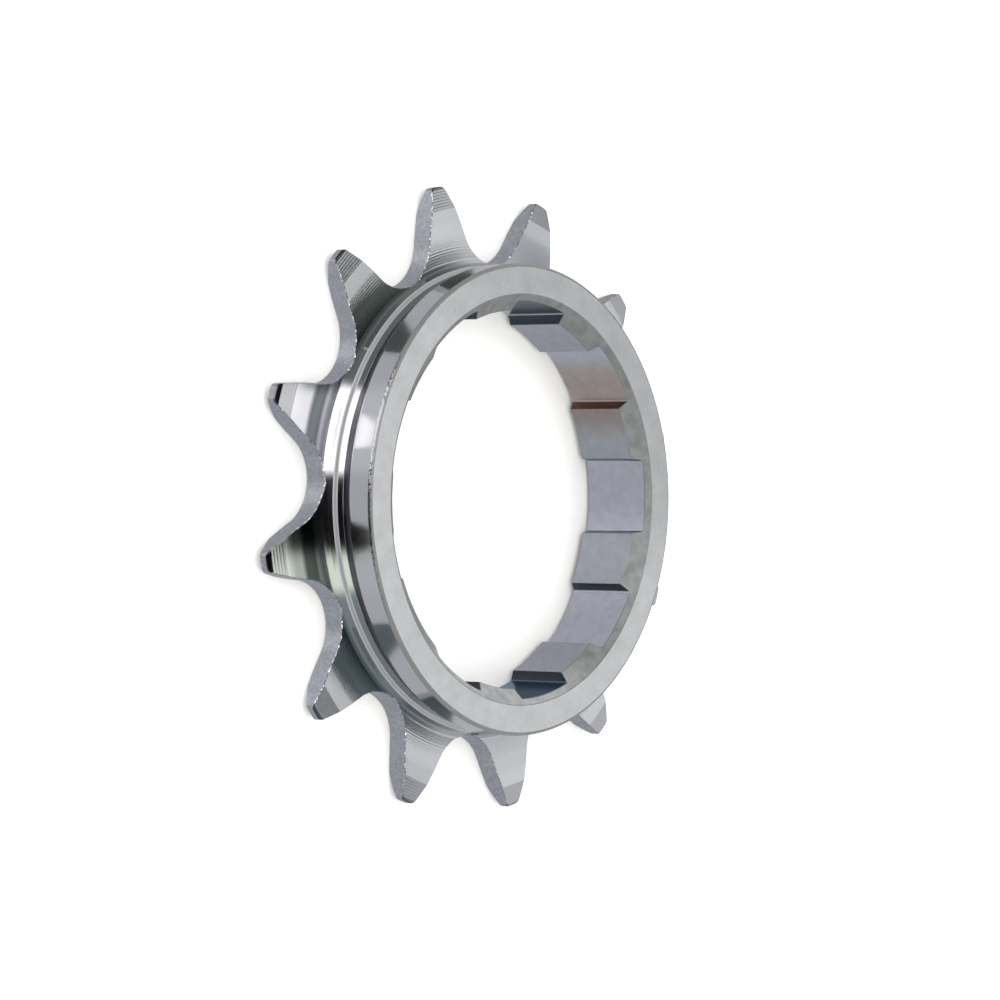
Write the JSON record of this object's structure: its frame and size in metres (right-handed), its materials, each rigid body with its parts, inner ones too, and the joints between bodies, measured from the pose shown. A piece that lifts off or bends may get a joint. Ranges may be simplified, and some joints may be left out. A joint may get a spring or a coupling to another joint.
{
  "type": "single speed cog",
  "caption": "Steel sprocket ring with rounded roller-chain teeth, a grooved boss on one side and a splined bore with one wide lug.",
  "frame": {"origin": "centre of the bore on the flat back face of the teeth", "axes": "+Z along the bore axis towards the boss; +X through the wide lug of the spline and the tooth outside it"},
  "size_m": [0.055, 0.055, 0.0071],
  "materials": {
    "plated_steel": "bright turned and brushed plating"
  },
  "bodies": {
    "root": {"cog": "plated_steel"}
  },
  "joints": []
}
